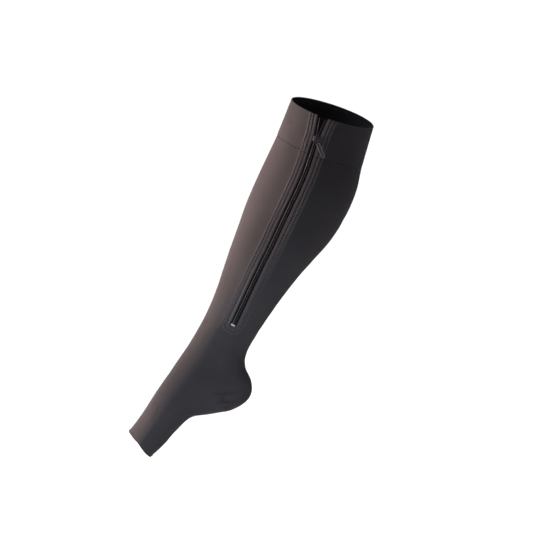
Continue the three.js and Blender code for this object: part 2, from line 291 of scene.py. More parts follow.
def in_scene(name, data):
    obj = bpy.data.objects.new(name, data)
    bpy.context.scene.collection.objects.link(obj)
    return obj


def new_mesh(name, points, faces):
    """An object from points in millimetres and equal-sided faces."""
    points = np.asarray(points, np.float32) * MM
    faces = np.asarray(faces, np.int32)
    mesh = bpy.data.meshes.new(name)
    mesh.vertices.add(len(points))
    mesh.vertices.foreach_set("co", points.ravel())
    sides = faces.shape[1]
    mesh.loops.add(faces.size)
    mesh.loops.foreach_set("vertex_index", faces.ravel())
    mesh.polygons.add(len(faces))
    mesh.polygons.foreach_set("loop_start", np.arange(0, faces.size, sides, dtype=np.int32))
    mesh.update()
    mesh.validate()
    mesh.shade_smooth()
    return in_scene(name, mesh)


def grid_shell(name, outer, inner, cloth_uv, wraps=False, keep=None, values=None):
    """A closed wall between two grids of points, with the map "cloth" in millimetres round and down."""
    rows, columns = outer.shape[:2]
    cells = columns if wraps else columns - 1
    keep = np.ones((rows - 1, cells), bool) if keep is None else keep
    count = rows * columns
    row, column = np.nonzero(keep)
    right = (column + 1) % columns
    a, b = row * columns + column, (row + 1) * columns + column
    c, d = (row + 1) * columns + right, row * columns + right
    quads = [np.stack([a, b, c, d], 1), np.stack([d, c, b, a], 1) + count]
    corners = [np.stack([row, column], 1), np.stack([row + 1, column], 1)]
    corners += [np.stack([row + 1, column + 1], 1), np.stack([row, column + 1], 1)]
    places = [np.stack(corners, 1), np.stack(corners[::-1], 1)]
    padded = np.zeros((rows + 1, cells + 2), bool)
    padded[1:-1, 1:-1] = keep
    if wraps:
        padded[1:-1, 0], padded[1:-1, -1] = keep[:, -1], keep[:, 0]
    ends = ((a, b, 0, 1, (0, -1)), (b, c, 1, 2, (1, 0)), (c, d, 2, 3, (0, 1)), (d, a, 3, 0, (-1, 0)))
    for start, stop, first, second, (step_row, step_column) in ends:
        bare = ~padded[row + 1 + step_row, column + 1 + step_column]
        s, e = start[bare], stop[bare]
        quads.append(np.stack([e, s, s + count, e + count], 1))
        p, q = corners[first][bare], corners[second][bare]
        places.append(np.stack([q, p, p, q], 1))
    points = np.concatenate([outer.reshape(-1, 3), inner.reshape(-1, 3)])
    faces = np.concatenate(quads)
    used = np.unique(faces)
    renumber = np.zeros(len(points), int)
    renumber[used] = np.arange(len(used))
    obj = new_mesh(name, points[used], renumber[faces])
    where = np.concatenate(places).reshape(-1, 2)
    uv = obj.data.uv_layers.new(name="cloth")
    uv.data.foreach_set("uv", cloth_uv[where[:, 0], where[:, 1]].astype(np.float32).ravel())
    for key, grid in (values or {}).items():
        attribute = obj.data.attributes.new(key, "FLOAT", "POINT")
        attribute.data.foreach_set("value", np.tile(grid.ravel(), 2)[used].astype(np.float32))
    return obj


def graded(start, end, step, first=True, last=True):
    """Distances from start to end, crowded at the ends that are free edges, where the cloth rounds over."""
    crowd = np.array([0, 0.06, 0.18, 0.36, 0.6, 0.95, 1.5])
    middle_start = start + (crowd[-1] if first else 0)
    middle_end = end - (crowd[-1] if last else 0)
    count = max(2, int(round((middle_end - middle_start) / step)) + 1)
    stations = [np.linspace(middle_start, middle_end, count)]
    if first:
        stations.insert(0, start + crowd[:-1])
    if last:
        stations.append(end - crowd[-2::-1])
    return np.concatenate(stations)


# Relief of the cloth's face, in millimetres


def bulge(run, centre, width, height):
    """A soft ridge, or a groove where the height is negative, across a distance."""
    return height * np.exp(-(((run - centre) / width) ** 2))


# Each bulge's distance from its edge, width and height.
TOE_ROLL = (1.4, 1.1, 0.35)
TOE_GROOVE = (4.2, 0.8, -0.25)
RIM_ROLL = (2.2, 1.6, 0.22)
BAND_SEAM = (0, 1.1, -0.35)
HEEL_RISE = 0.18

# Soft creases, given one by one: where each lies in sections and degrees round from the front, its length and
# width, how deep it is, and how far its line turns from level, in degrees.
CREASES = (
    (0.42, 31, 17, 2.6, 0.30, 12),
    (0.30, 212, 26, 3.0, 0.40, -8),
    (0.62, 300, 22, 2.8, 0.35, 9),
    (2.10, 205, 30, 4.2, 0.35, 6),
    (3.30, 168, 24, 4.0, 0.30, -7),
    (8.90, 166, 26, 5.0, 0.25, 5),
    (9.80, 196, 30, 5.5, 0.30, -4),
    (10.55, 164, 30, 5.0, 0.30, 6),
    (11.25, 194, 26, 4.6, 0.30, -9),
    (9.20, 25, 20, 4.0, 0.30, -10),
    (10.60, 335, 24, 4.2, 0.40, 8),
    (10.95, 18, 22, 3.6, 0.35, -12),
    (12.76, 111, 32, 2.2, 0.55, -18),
    (13.41, 118, 15, 2.0, 0.75, -21),
    (13.18, 110, 10, 1.9, 0.55, 38),
    (13.85, 133, 16, 2.4, 0.45, 6),
    (12.90, 246, 28, 2.3, 0.50, 16),
    (13.50, 238, 17, 2.1, 0.60, 24),
    (14.05, 224, 14, 2.4, 0.40, -5),
    (16.30, 60, 20, 3.4, 0.30, 62),
    (17.60, 250, 22, 3.2, 0.35, 70),
    (18.20, 125, 18, 3.0, 0.35, 64),
)


def creases(grid):
    """The creases' relief, each a soft trough with a faint ridge under it."""
    relief = np.zeros(grid["angle"].shape)
    for centre, turn, length, width, depth, slant in CREASES:
        away = np.angle(np.exp(1j * (grid["angle"] - math.radians(turn))))
        down = (grid["place"] - centre) * grid["down_mm"]
        across = away * grid["around_mm"]
        lean = math.radians(slant)
        along = across * math.cos(lean) + down * math.sin(lean)
        off = down * math.cos(lean) - across * math.sin(lean)
        window = np.exp(-((2 * along / length) ** 4))
        relief += depth * window * (bulge(off, 2 * width, 1.5 * width, 0.45) - bulge(off, 0, width, 1))
    return relief


def to_slit(place, offset):
    """Distance in millimetres from the slit's edge, counted round its bottom end too."""
    beside = np.abs(offset) - SLIT_HALF - open_by(place)
    under = length_at(place) - SLIT_END
    return np.where(under > 0, np.hypot(np.maximum(beside, 0), np.maximum(under, 0)), beside)


def row_distance(length, offset, which):
    """How far the sewn row runs from the slit's edge, from the shin side's value to the calf side's."""
    share = smooth(-SLIT_HALF, SLIT_HALF, offset)
    straight = SHIN_ROWS[which] + (CALF_ROWS[which] - SHIN_ROWS[which]) * share
    sway = 0.14 * np.sin(length / 11 + 2 * share + which) + 0.08 * np.sin(length / 4.7 + 4 * share)
    return straight + sway * smooth(SLIT_END, SLIT_END - 12, length)


def fading(length, offset):
    """How far the hem's rows fade on the calf side towards the slit's end, where the knit lies smooth."""
    return ROW_FADE * smooth(SLIT_END - 150, SLIT_END - 40, length) * smooth(-SLIT_HALF, SLIT_HALF, offset)


def hem_relief(place, offset):
    """The doubled hem beside the zip, pulled in along its two sewn rows into three rounded ridges.

    Gives the relief, how near a sewn row is, and how far up a ridge.
    """
    edge = np.maximum(to_slit(place, offset), 0)
    length = length_at(place)
    first, second = row_distance(length, offset, 0), row_distance(length, offset, 1)
    last = second + LAST_RIDGE
    beyond = length - SLIT_END
    flatter = 1 - 0.75 * smooth(-6, 3, beyond)
    fainter = flatter * (1 - 0.55 * smooth(-110, -20, beyond)) * (1 - fading(length, offset))
    bolder = flatter * (1 + 0.9 * smooth(-150, -50, beyond) * smooth(SLIT_HALF, -SLIT_HALF, offset))
    rows = ((0 * first, first, bolder), (first, second, fainter), (second, last, fainter))
    ridge = sum(part * np.sin(math.pi * np.clip((edge - a) / (b - a), 0, 1)) for a, b, part in rows)
    hem = (1 - smooth(second + 0.3, last + 3.5, edge)) * flatter
    shown = 1 - fading(length, offset)
    pair = ((first, shown), (second, shown * (1 - 0.4 * smooth(-110, -20, beyond))))
    sewn = sum(bulge(edge, row, ROW_HALF_WIDTH, part) for row, part in pair)
    quilted = 1 + 0.25 * np.sin(2 * math.pi * length / STITCH_PITCH + 2 * edge)
    return HEM_RISE * hem + RIDGE_RISE * quilted * ridge - ROW_DEPTH * sewn, sewn, ridge


HEEL_POCKET = {"top": 12.1, "bottom": 14.7, "front": 118, "soften": 9}


def heel_mask(place, angle):
    """1 on the reinforced heel pocket, 0 off it."""
    degrees = np.degrees(np.abs(np.angle(np.exp(1j * angle))))
    middle = (HEEL_POCKET["top"] + HEEL_POCKET["bottom"]) / 2
    half = (HEEL_POCKET["bottom"] - HEEL_POCKET["top"]) / 2
    reach = 180 - (180 - HEEL_POCKET["front"]) * (1 - np.clip(np.abs(place - middle) / half, 0, 1) ** 2)
    return smooth(0, HEEL_POCKET["soften"], degrees - reach)


def unevenness(place, angle):
    """Slow waves, so that no stretch of the knit is perfectly even."""
    slow = np.sin(2.1 * place + 1.3) * np.sin(2 * angle + 0.8) + np.sin(0.9 * place - 3 * angle)
    quick = np.sin(5.3 * place + 5 * angle) * np.sin(3 * angle - 1.9 * place + 0.6)
    return 0.10 * slow + 0.05 * quick


NEAR_SLIT = graded(SLIT_HALF, 18.0, 0.5, last=False)
ACROSS_SLIT = graded(-SLIT_HALF, SLIT_HALF, 0.8)[1:-1]


def column_angles(places, coarse):
    """Angles of the grid's columns: the calf side of the slit, round the leg, and the shin side."""
    place = places[:, None]
    spread = open_by(place)
    calf = beside_zip(place, NEAR_SLIT + spread)
    shin = beside_zip(place, -NEAR_SLIT[::-1] - spread) + 2 * math.pi
    share = np.linspace(0, 1, coarse + 2)[1:-1]
    rest = calf[:, -1:] + (shin[:, :1] - calf[:, -1:]) * share
    return np.concatenate([calf, rest, shin], 1)


def cloth_grid(places, angles):
    """Everything the cloth's relief needs at each grid point, worked out once."""
    place = np.broadcast_to(places[:, None], angles.shape)
    point, down, around, out = face_frame(place, angles)
    _, _, at_zip, _ = face_frame(places, zip_angle(places))
    turned = np.angle(np.exp(1j * (angles - zip_angle(place))))
    offset = turned * np.linalg.norm(at_zip, axis=-1)[:, None]
    down_mm, around_mm = np.linalg.norm(down, axis=-1), np.linalg.norm(around, axis=-1)
    steps = np.diff(angles, axis=1) * (around_mm[:, 1:] + around_mm[:, :-1]) / 2
    run = np.concatenate([np.zeros((len(places), 1)), np.cumsum(steps, 1)], 1)
    closing = angles[:, :1] + 2 * math.pi - angles[:, -1:]
    run = np.concatenate([run, run[:, -1:] + closing * around_mm[:, -1:]], 1)
    length = np.broadcast_to(length_at(places)[:, None], run.shape)
    return {
        "place": place,
        "angle": angles,
        "offset": offset,
        "point": point,
        "out": out,
        "down_mm": down_mm,
        "around_mm": around_mm,
        "uv": np.stack([run, length], -1),
    }


TOE_CORNER = {"round": 140, "half": 0.7, "longer": 2.4}  # the open toe's lowest corner, pulled on further
CURL_REACH = 14.0  # how far below the slit its sewn rows curl round, where the grid is finer
CREASE_DEEP = 0.7  # the depth at which a crease's painted shade is full

# The grids: how far apart their rows are, and how many columns go round away from the slit.
ROW_STEPS = {"band": 1.4, "leg": 2.3, "curl": 0.7, "foot": 1.8}
COARSE_COLUMNS = {"band": 116, "leg": 104}


def wall(base, out, relief, hem, thickness, edge, lowest=-np.inf):
    """The outer and inner points of a cloth wall, rounded over at its free edges."""
    radius = thickness / 2
    near = np.clip(1 - edge / radius, 0, 1)
    half = np.maximum(radius * np.sqrt(1 - near**2), THINNEST)
    middle = relief - radius
    inside = np.maximum(middle - half - HEM_INSIDE * np.maximum(hem, 0), lowest)
    return base + out * (middle + half)[..., None], base + out * inside[..., None]


def knit_leg():
    """The knit from under the band to the toe edge, one piece, over the leg and foot solids."""
    top, toe = float(length_at(LEG_TOP)), float(length_at(TOE))
    above = graded(top, SLIT_END, ROW_STEPS["leg"])
    curl = graded(SLIT_END, SLIT_END + CURL_REACH, ROW_STEPS["curl"], last=False)
    below = graded(SLIT_END + CURL_REACH, toe, ROW_STEPS["foot"], first=False)
    places = place_at(np.concatenate([above, curl[1:], below[1:]]))
    places[-1] = TOE
    slit_rows = len(above) - 1
    across = beside_zip(places[:, None], ACROSS_SLIT) + 2 * math.pi
    angles = np.concatenate([column_angles(places, COARSE_COLUMNS["leg"]), across], 1)
    grid = cloth_grid(places, angles)
    first_slit_cell = angles.shape[1] - len(ACROSS_SLIT) - 1
    keep = np.ones((len(places) - 1, angles.shape[1]), bool)
    keep[:slit_rows, first_slit_cell:] = False
    place, offset = grid["place"], grid["offset"]
    down = length_at(place)
    slit_edge = to_slit(place, offset)
    slit_edge = np.where((down >= SLIT_END) & (np.abs(offset) < SLIT_HALF), down - SLIT_END, slit_edge)
    edge = np.minimum(np.minimum(np.maximum(slit_edge, 0), down - top), toe - down)
    hem, sewn, ridge = hem_relief(place, offset)
    heel = heel_mask(place, angles)
    crease = creases(grid)
    relief = hem + crease + unevenness(place, angles) * smooth(0, 12, edge) + HEEL_RISE * heel
    to_toe = toe - down
    relief += bulge(to_toe, *TOE_ROLL) + bulge(to_toe, *TOE_GROOVE)
    wave = 0.35 * np.sin(4 * angles + 0.7) + 0.25 * np.sin(7 * angles + 2.1)
    beyond_corner = np.angle(np.exp(1j * (angles - math.radians(TOE_CORNER["round"]))))
    wave += bulge(beyond_corner, 0, TOE_CORNER["half"], TOE_CORNER["longer"])
    toeward = wave * np.exp(-to_toe / 9) / grid["down_mm"]
    base, _, _, out = face_frame(place + toeward, angles)
    lowest = np.minimum(relief, 0) - KNIT_THICKNESS - 0.1
    outer, inner = wall(base, out, relief, hem, KNIT_THICKNESS, edge, lowest)
    # The last value is how deep a crease's trough is, for the painted shade that the material lays in it.
    values = {"sewn": sewn, "ridge": ridge, "heel": heel, "crease_shade": np.clip(-crease / CREASE_DEEP, 0, 1)}
    return grid_shell("knit_leg", outer, inner, grid["uv"], wraps=True, keep=keep, values=values)


def knit_band():
    """The doubled top band, rolled over at the rim, down to its seam."""
    foot = float(length_at(BAND_FOOT))
    places = place_at(graded(0.0, foot, ROW_STEPS["band"]))
    angles = column_angles(places, COARSE_COLUMNS["band"])
    grid = cloth_grid(places, angles)
    place, offset = grid["place"], grid["offset"]
    down = length_at(place)
    edge = np.minimum(np.minimum(np.maximum(to_slit(place, offset), 0), down), foot - down)
    hem, sewn, ridge = hem_relief(place, offset)
    crease = creases(grid)
    relief = BAND_STANDS_OUT + hem + crease + unevenness(place, angles) * smooth(0, 8, edge)
    relief += bulge(down, *RIM_ROLL) + bulge(foot - down, *BAND_SEAM)
    outer, inner = wall(grid["point"], grid["out"], relief, hem, BAND_THICKNESS, edge)
    # The last value is how deep a crease's trough is, for the painted shade that the material lays in it.
    values = {"sewn": sewn, "ridge": ridge, "heel": 0 * sewn, "crease_shade": np.clip(-crease / CREASE_DEEP, 0, 1)}
    return grid_shell("knit_band", outer, inner, grid["uv"][:, :-1], values=values)


def strip(name, end, offsets, face, thickness, follows):
    """A flat strip that follows the zip, between two offsets and at a depth under the cloth's face."""
    lengths = graded(BELOW_RIM, end, 2.0)
    columns = graded(*offsets, 0.8)
    places = place_at(lengths)
    place = np.broadcast_to(places[:, None], (len(lengths), len(columns)))
    side = columns + follows * open_by(place)
    angles = beside_zip(place, side)
    point, _, _, out = face_frame(place, angles)
    along = np.broadcast_to(lengths[:, None], place.shape)
    to_ends = np.minimum(along - BELOW_RIM, end - along)
    edge = np.minimum(to_ends, np.minimum(columns - offsets[0], offsets[1] - columns))
    outer, inner = wall(point, out, -face, 0, thickness, edge)
    uv = np.stack([np.broadcast_to(columns, place.shape), along], -1)
    return grid_shell(name, outer, inner, uv)


# Stitches and coils


def tube_faces(count, sides):
    """Triangles round a tube of rings, closed at each end by a fan to one more point."""
    k = np.arange(sides)
    after = (k + 1) % sides
    a, b = (np.arange(count - 1)[:, None] * sides + column for column in (k, after))
    quads = np.stack([a, b, b + sides, a + sides], -1).reshape(-1, 4)
    end = (count - 1) * sides
    first = np.stack([np.full(sides, count * sides), after, k], 1)
    last = np.stack([np.full(sides, count * sides + 1), end + k, end + after], 1)
    return np.concatenate([quads[:, [0, 1, 2]], quads[:, [0, 2, 3]], first, last])


def bead_template(around=8, along=5):
    """A closed capsule-like bead of unit length, width and height, as points and triangles."""
    turn = np.arange(around) * 2 * math.pi / around
    rings = []
    for share in np.arange(1, along) / along:
        swell = 0.5 * math.sin(math.pi * share) ** 0.6
        rings.append(np.stack([np.full(around, share - 0.5), swell * np.cos(turn), swell * np.sin(turn)], 1))
    return np.concatenate([*rings, [(-0.5, 0, 0), (0.5, 0, 0)]]), tube_faces(along - 1, around)


def beads(name, centres, along, out, length, width, height):
    """Many stitches in one mesh, each at a centre and turned along a direction."""
    points, faces = bead_template()
    along = unit(along)
    across = unit(np.cross(out, along))
    out = np.cross(along, across)
    placed = centres[:, None, :]
    for i, (size, axis) in enumerate(((length, along), (width, across), (height, out))):
        sizes = np.broadcast_to(size, len(centres))[:, None, None]
        placed = placed + sizes * points[None, :, i, None] * axis[:, None, :]
    every = faces[None] + (np.arange(len(centres)) * len(points))[:, None, None]
    return new_mesh(name, placed.reshape(-1, 3), every.reshape(-1, 3))


def row_path(which):
    """Lengths and offsets of one sewn row: down the shin side, round the slit's end, up the calf side."""
    lengths = np.arange(1.5, SLIT_END, 0.5)
    opened = SLIT_HALF + open_by(place_at(lengths))
    shin = -opened - row_distance(lengths, -opened, which)
    calf = opened + row_distance(lengths, opened, which)
    turn = np.linspace(0, math.pi / 2, 24)
    across = np.linspace(-SLIT_HALF, SLIT_HALF, 20)[1:-1]
    reach, far_reach = SHIN_ROWS[which], CALF_ROWS[which]
    offsets = [shin, -SLIT_HALF - reach * np.cos(turn), across]
    offsets += [SLIT_HALF + far_reach * np.cos(turn[::-1]), calf[::-1]]
    down = [lengths, SLIT_END + reach * np.sin(turn), SLIT_END + row_distance(SLIT_END, across, which)]
    down += [SLIT_END + far_reach * np.sin(turn[::-1]), lengths[::-1]]
    return np.concatenate(down), np.concatenate(offsets)


def on_face(lengths, offsets, height=0.0):
    """Points at a height over the cloth's face, and the ways out of it."""
    places = place_at(lengths)
    point, _, _, out = face_frame(places, beside_zip(places, offsets))
    return point + out * np.asarray(height)[..., None], out


def even_stations(points, pitch):
    run = np.concatenate([[0], np.cumsum(np.linalg.norm(np.diff(points, axis=0), axis=1))])
    stations = np.arange(pitch / 2, run[-1], pitch)
    return run, stations


def row_at(row, run, stations):
    return [np.interp(stations, run, values) for values in row]


def sewn_rows():
    """The lockstitch rows of the hem, each stitch a short thread that dips in at both ends."""
    stitches = []
    for which in (0, 1):
        row = row_path(which)
        run, stations = even_stations(on_face(*row)[0], STITCH_PITCH)
        down, offset = row_at(row, run, stations)
        place = place_at(down)
        height = hem_relief(place, offset)[0] + np.where(place < at("underBand"), BAND_STANDS_OUT, 0)
        centre, out = on_face(down, offset, height + STITCH_LIFT)
        ahead, behind = (on_face(*row_at(row, run, stations + step), height)[0] for step in (0.3, -0.3))
        width = STITCH_WIDTH * (1 - 0.7 * fading(down, offset))
        stitches.append((centre, ahead - behind, out, width))
    centres, along, outs, widths = (np.concatenate(column) for column in zip(*stitches))
    return beads("hem_stitches", centres, along, outs, STITCH_PITCH * STITCH_SHARE, widths, STITCH_HEIGHT)


def band_stitches():
    """The linking stitches across the seam under the band, slanting one way then the other."""
    place = at("underBand")
    edge = SLIT_HALF + 0.6
    angles = np.linspace(beside_zip(place, edge), beside_zip(place, -edge) + 2 * math.pi, 4000)
    run, stations = even_stations(face_point(place, angles), LINK_PITCH)
    point, down, around, out = face_frame(place, np.interp(stations, run, angles))
    lean = np.where(np.arange(len(stations)) % 2 == 0, 1.0, -1.0)[:, None]
    along = unit(down) + LINK_SLANT * lean * unit(around)
    return beads("band_stitches", point + out * 0.02, along, out, *LINK_SIZE)


def tube_along(name, centres, side, out, radius, sides=6):
    """A closed-ended thread through a list of centres."""
    turn = np.arange(sides) * 2 * math.pi / sides
    around = np.cos(turn)[:, None] * side[:, None, :] + np.sin(turn)[:, None] * out[:, None, :]
    rings = centres[:, None, :] + radius * around
    points = np.concatenate([rings.reshape(-1, 3), centres[:1], centres[-1:]])
    return new_mesh(name, points, tube_faces(len(centres), sides))


def zip_coil(side, label):
    """A nylon spiral on the inner edge of its tape, its turns set between the other side's turns."""
    phase = 0.0 if side > 0 else 0.25
    turns = int((COIL_END - COIL_START) / COIL_PITCH)
    t = np.linspace(0, turns, turns * COIL_TURN_STEPS + 1)
    down = COIL_START + (t + 0.25 * np.sin(4 * math.pi * t) / (2 * math.pi) + phase) * COIL_PITCH
    places = place_at(down)
    middle = COIL_GAP / 2 + COIL_WIDTH / 2
    reach_across = COIL_WIDTH / 2 - COIL_WIRE + 0.22
    reach_out = (COIL_FOOT - COIL_FACE) / 2 - COIL_WIRE
    offset = side * (middle - 0.16 - reach_across * np.cos(2 * math.pi * t) + open_by(places))
    height = -(COIL_FACE + COIL_FOOT) / 2 + reach_out * np.sin(2 * math.pi * t)
    centres, out = on_face(down, offset, height)
    along = unit(np.gradient(centres, axis=0))
    flat = unit(np.cross(out, along))
    return tube_along("coil_" + label, centres, flat, np.cross(along, flat), COIL_WIRE)


def coil_threads(side, label):
    """The sewn thread that holds a coil on its tape, on the shoulder away from the zip's middle."""
    stations = np.arange(BELOW_RIM + 1.0, COIL_END - 0.5, COIL_PITCH)
    offset = side * (COIL_GAP / 2 + COIL_WIDTH * THREAD_SHARE + open_by(place_at(stations)))
    middle, out = on_face(stations, offset, -COIL_FACE - THREAD_SUNK)
    ahead, behind = (on_face(stations + step, offset)[0] for step in (0.5, -0.5))
    return beads("coil_thread_" + label, middle, ahead - behind, out, *THREAD_SIZE)


# Hardware


def zip_frame(place):
    """The point on the zip's centre line, across towards the calf, up the zip, and out of the cloth."""
    point, down, _, out = face_frame(place, zip_angle(place))
    up = unit(-down)
    across = unit(np.cross(up, out))
    return point, across, up, out


def in_frame(points, frame):
    origin, across, up, out = frame
    points = np.asarray(points, float)
    return origin + points[..., :1] * across + points[..., 1:2] * up + points[..., 2:3] * out


def rotated(first, second, degrees):
    c, s = math.cos(math.radians(degrees)), math.sin(math.radians(degrees))
    return c * first + s * second, c * second - s * first


def turned_frame(frame, swivel=0.0, shift=(0, 0, 0), droop=0.0):
    """A frame moved, then swivelled round its own out axis, then drooped round its across axis."""
    _, across, up, out = frame
    origin = in_frame(shift, frame)
    across, up = rotated(across, up, swivel)
    up, out = rotated(up, out, droop)
    return origin, across, up, out


def facing_out(obj):
    bpy.ops.object.select_all(action="DESELECT")
    obj.select_set(True)
    bpy.context.view_layer.objects.active = obj
    bpy.ops.object.mode_set(mode="EDIT")
    bpy.ops.mesh.select_all(action="SELECT")
    bpy.ops.mesh.normals_make_consistent(inside=False)
    bpy.ops.object.mode_set(mode="OBJECT")
    return obj


def softened(obj, width, segments=3, angle=35):
    """The same piece with its sharp edges bevelled and its faces shaded smooth."""
    bevel = obj.modifiers.new("edges", "BEVEL")
    bevel.width = width * MM
    bevel.segments = segments
    bevel.limit_method = "ANGLE"
    bevel.angle_limit = math.radians(angle)
    bpy.context.view_layer.update()
    evaluated = obj.evaluated_get(bpy.context.evaluated_depsgraph_get())
    plain, obj.data = obj.data, bpy.data.meshes.new_from_object(evaluated)
    obj.modifiers.clear()
    bpy.data.meshes.remove(plain)
    obj.data.shade_smooth()
    return obj


def loft(name, loops, frame, closed=True):
    """Loops of points in a hardware frame, joined one to the next: the last to the first, or else capped."""
    count, sides = len(loops), len(loops[0])
    faces = []
    for i in range(count if closed else count - 1):
        a, b = i * sides, (i + 1) % count * sides
        faces += [(a + k, a + (k + 1) % sides, b + (k + 1) % sides, b + k) for k in range(sides)]
    if not closed:
        faces += [tuple(range(sides))[::-1], tuple(range((count - 1) * sides, count * sides))]
    mesh = bpy.data.meshes.new(name)
    mesh.from_pydata([tuple(p) for p in in_frame(np.concatenate(loops), frame) * MM], [], faces)
    mesh.update()
    return facing_out(in_scene(name, mesh))


def prism(name, outline, low, high, frame):
    """A plate with a polygon outline in the frame's across and up axes, between two heights."""
    return loft(name, [[(x, y, z) for x, y in outline] for z in (low, high)], frame, closed=False)


def joined(name, pieces):
    bpy.ops.object.select_all(action="DESELECT")
    for piece in pieces:
        piece.select_set(True)
    bpy.context.view_layer.objects.active = pieces[0]
    bpy.ops.object.join()
    whole = bpy.context.view_layer.objects.active
    whole.name = name
    whole.data.name = name
    return whole


def mirrored(right):
    return right + [(-x, y) for x, y in right[::-1]]


def box_outline(x0, x1, y0, y1):
    return [(x0, y0), (x1, y0), (x1, y1), (x0, y1)]


def slider_piece(frame):
    """The slider's plate with its shoulders, a raised spine, the side flanges and the bridge."""
    half = SLIDER_LENGTH / 2
    right = [(2.5, -half), (3.25, -half + 0.8), (3.65, -half + 2.2), (3.65, half - 2.0)]
    right += [(3.5, half - 1.1), (2.9, half - 0.3), (2.1, half)]
    plan = mirrored(right)
    spine = [(x * 0.42, y * 0.78) for x, y in plan]
    pieces = [softened(prism("plate", plan, 0.5, PLATE_TOP, frame), 0.42, 4)]
    pieces.append(softened(prism("spine", spine, 1.4, PLATE_TOP + 0.3, frame), 0.3, 4))
    for side in (-1, 1):
        reach = sorted((side * 2.8, side * 3.65))
        flange = prism("flange", box_outline(*reach, -half + 1.7, half - 1.7), -1.2, 1.1, frame)
        pieces.append(softened(flange, 0.22))
    pieces.append(bridge_piece(frame))
    return joined("slider_body", pieces)


def bridge_piece(frame):
    """The bridge over the plate: an arch of even thickness, rounded at its shoulders."""
    loops = []
    for turn in np.linspace(0, math.pi, 13):
        along, rise = signed_power(-math.cos(turn), 0.55), math.sin(turn) ** 0.45
        outer = (BRIDGE_HALF * along, BRIDGE_FOOT + (BRIDGE_TOP - BRIDGE_FOOT) * rise)
        inner = ((BRIDGE_HALF - BRIDGE_POST) * along, BRIDGE_FOOT + (BRIDGE_HOLLOW - BRIDGE_FOOT) * rise)
        corners = ((-1, outer), (1, outer), (1, inner), (-1, inner))
        loops.append([(side * BRIDGE_HALF_WIDTH, *point) for side, point in corners])
    return softened(loft("bridge", loops, frame, closed=False), 0.26, 4, angle=50)


def ring_piece(frame):
    """The wire ring, a rounded rectangle whose first end lies in the bridge."""
    turn = np.arange(96) * 2 * math.pi / 96
    power = 2 / RING_SQUARENESS
    x = RING_HALF * signed_power(np.cos(turn), power)
    y = RING_LENGTH / 2 * (signed_power(np.sin(turn), power) - 1)
    line = np.stack([x, y, 0 * x], -1)
    up = np.array((0, 0, 1.0))
    sides = np.cross(unit(np.roll(line, -1, 0) - np.roll(line, 1, 0)), up)
    wire = np.arange(14) * 2 * math.pi / 14
    across, rise = RING_WIRE * np.cos(wire), RING_WIRE * np.sin(wire)
    loops = [p + np.outer(across, s) + np.outer(rise, up) for p, s in zip(line, sides)]
    link = loft("pull_link", loops, frame)
    link.data.shade_smooth()
    return link


def tab_plan():
    """The pull tab's outline: shoulders at its neck, straight sides and a rounded end."""
    half = TAB_WIDTH / 2
    turns = np.linspace(-math.pi / 2, math.pi / 2, 13)
    end = [(half * math.sin(t), -TAB_LENGTH + half * (1 - math.cos(t))) for t in turns]
    return end + mirrored([(half, -2.6), (half - 0.3, -1.6), (half - 0.3, -0.75)])


def tab_piece(frame):
    """The pull tab's sunk face and its rolled eye."""
    floor = softened(prism("tab_floor", tab_plan(), -TAB_HALF + 0.05, TAB_HALF - 0.22, frame), 0.12, 2)
    return joined("tab_plate", [floor, eye_roll(frame)])


def rim_of(plan, width, frame):
    """A raised rim that follows a plate's outline inwards."""
    edge = np.array(plan)
    ahead = unit(np.roll(edge, -1, 0) - np.roll(edge, 1, 0))
    inner = edge + width * np.stack([-ahead[:, 1], ahead[:, 0]], -1)
    lines = ((edge, -TAB_HALF), (inner, -TAB_HALF), (inner, TAB_HALF), (edge, TAB_HALF))
    loops = [np.column_stack([line, np.full(len(line), height)]) for line, height in lines]
    return softened(loft("tab_rim", loops, frame), 0.16, 3, angle=50)


def eye_roll(frame):
    """The rolled eye round the ring's far wire: a short tube along the tab's width."""
    half = TAB_WIDTH / 2 - 0.3
    turns = np.arange(28) * 2 * math.pi / 28
    ends = ((-half, TAB_EYE_OUTER), (-half, TAB_EYE), (half, TAB_EYE), (half, TAB_EYE_OUTER))
    loops = [[(x, radius * math.cos(t), radius * math.sin(t)) for t in turns] for x, radius in ends]
    return softened(loft("tab_eye", loops, frame), 0.08, 2, angle=50)


def stop_piece(frame):
    """The bottom stop: a pressed clip with rounded shoulders, nipped in the middle."""
    half, deep = STOP_ACROSS / 2, STOP_ALONG / 2
    lower = [(-half, -deep), (-0.5, -deep), (0.0, -deep + 0.22), (0.5, -deep), (half, -deep)]
    plan = lower + [(-x, -y) for x, y in lower]
    return softened(prism("stop_clip", plan, STOP_FOOT, STOP_TOP, frame), 0.42, 4)


# Materials


